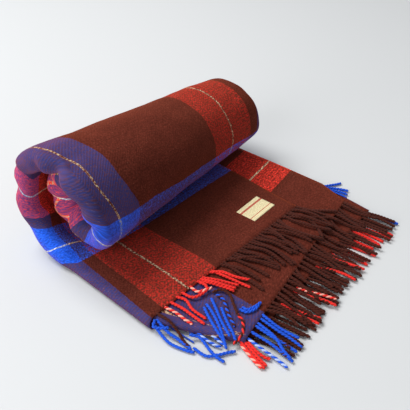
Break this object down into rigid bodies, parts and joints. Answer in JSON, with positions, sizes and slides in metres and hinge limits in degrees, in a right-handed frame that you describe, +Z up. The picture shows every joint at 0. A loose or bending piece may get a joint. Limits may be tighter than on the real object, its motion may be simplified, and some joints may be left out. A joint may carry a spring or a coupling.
{
  "type": "wool blanket",
  "caption": "Plaid wool blanket with a twisted fringe, folded and rolled up from one end, with a flat fringed tail lying on the floor.",
  "frame": {"origin": "middle of the underside of the whole blanket, on the floor it rests on", "axes": "+Z up, X along the roll with the fuller end at -X, the fringed tail toward -Y"},
  "size_m": [0.5056, 0.5252, 0.2215],
  "materials": {
    "wool_cloth": "brushed wool twill, brown with red, blue and cream plaid stripes",
    "yarn_red": "twisted wool yarn, red",
    "yarn_blue": "twisted wool yarn, blue",
    "yarn_brown": "twisted wool yarn, dark brown",
    "label_tape": "woven cream tape, plain"
  },
  "bodies": {
    "root": {"blanket": "wool_cloth", "fringe_upper_flap": "yarn_red", "fringe_upper_panel": "yarn_blue", "fringe_upper_inner": "yarn_brown", "fringe_lower_flap": "yarn_brown", "fringe_lower_panel": "yarn_blue", "fringe_lower_inner": "yarn_red", "label": "label_tape"}
  },
  "joints": []
}
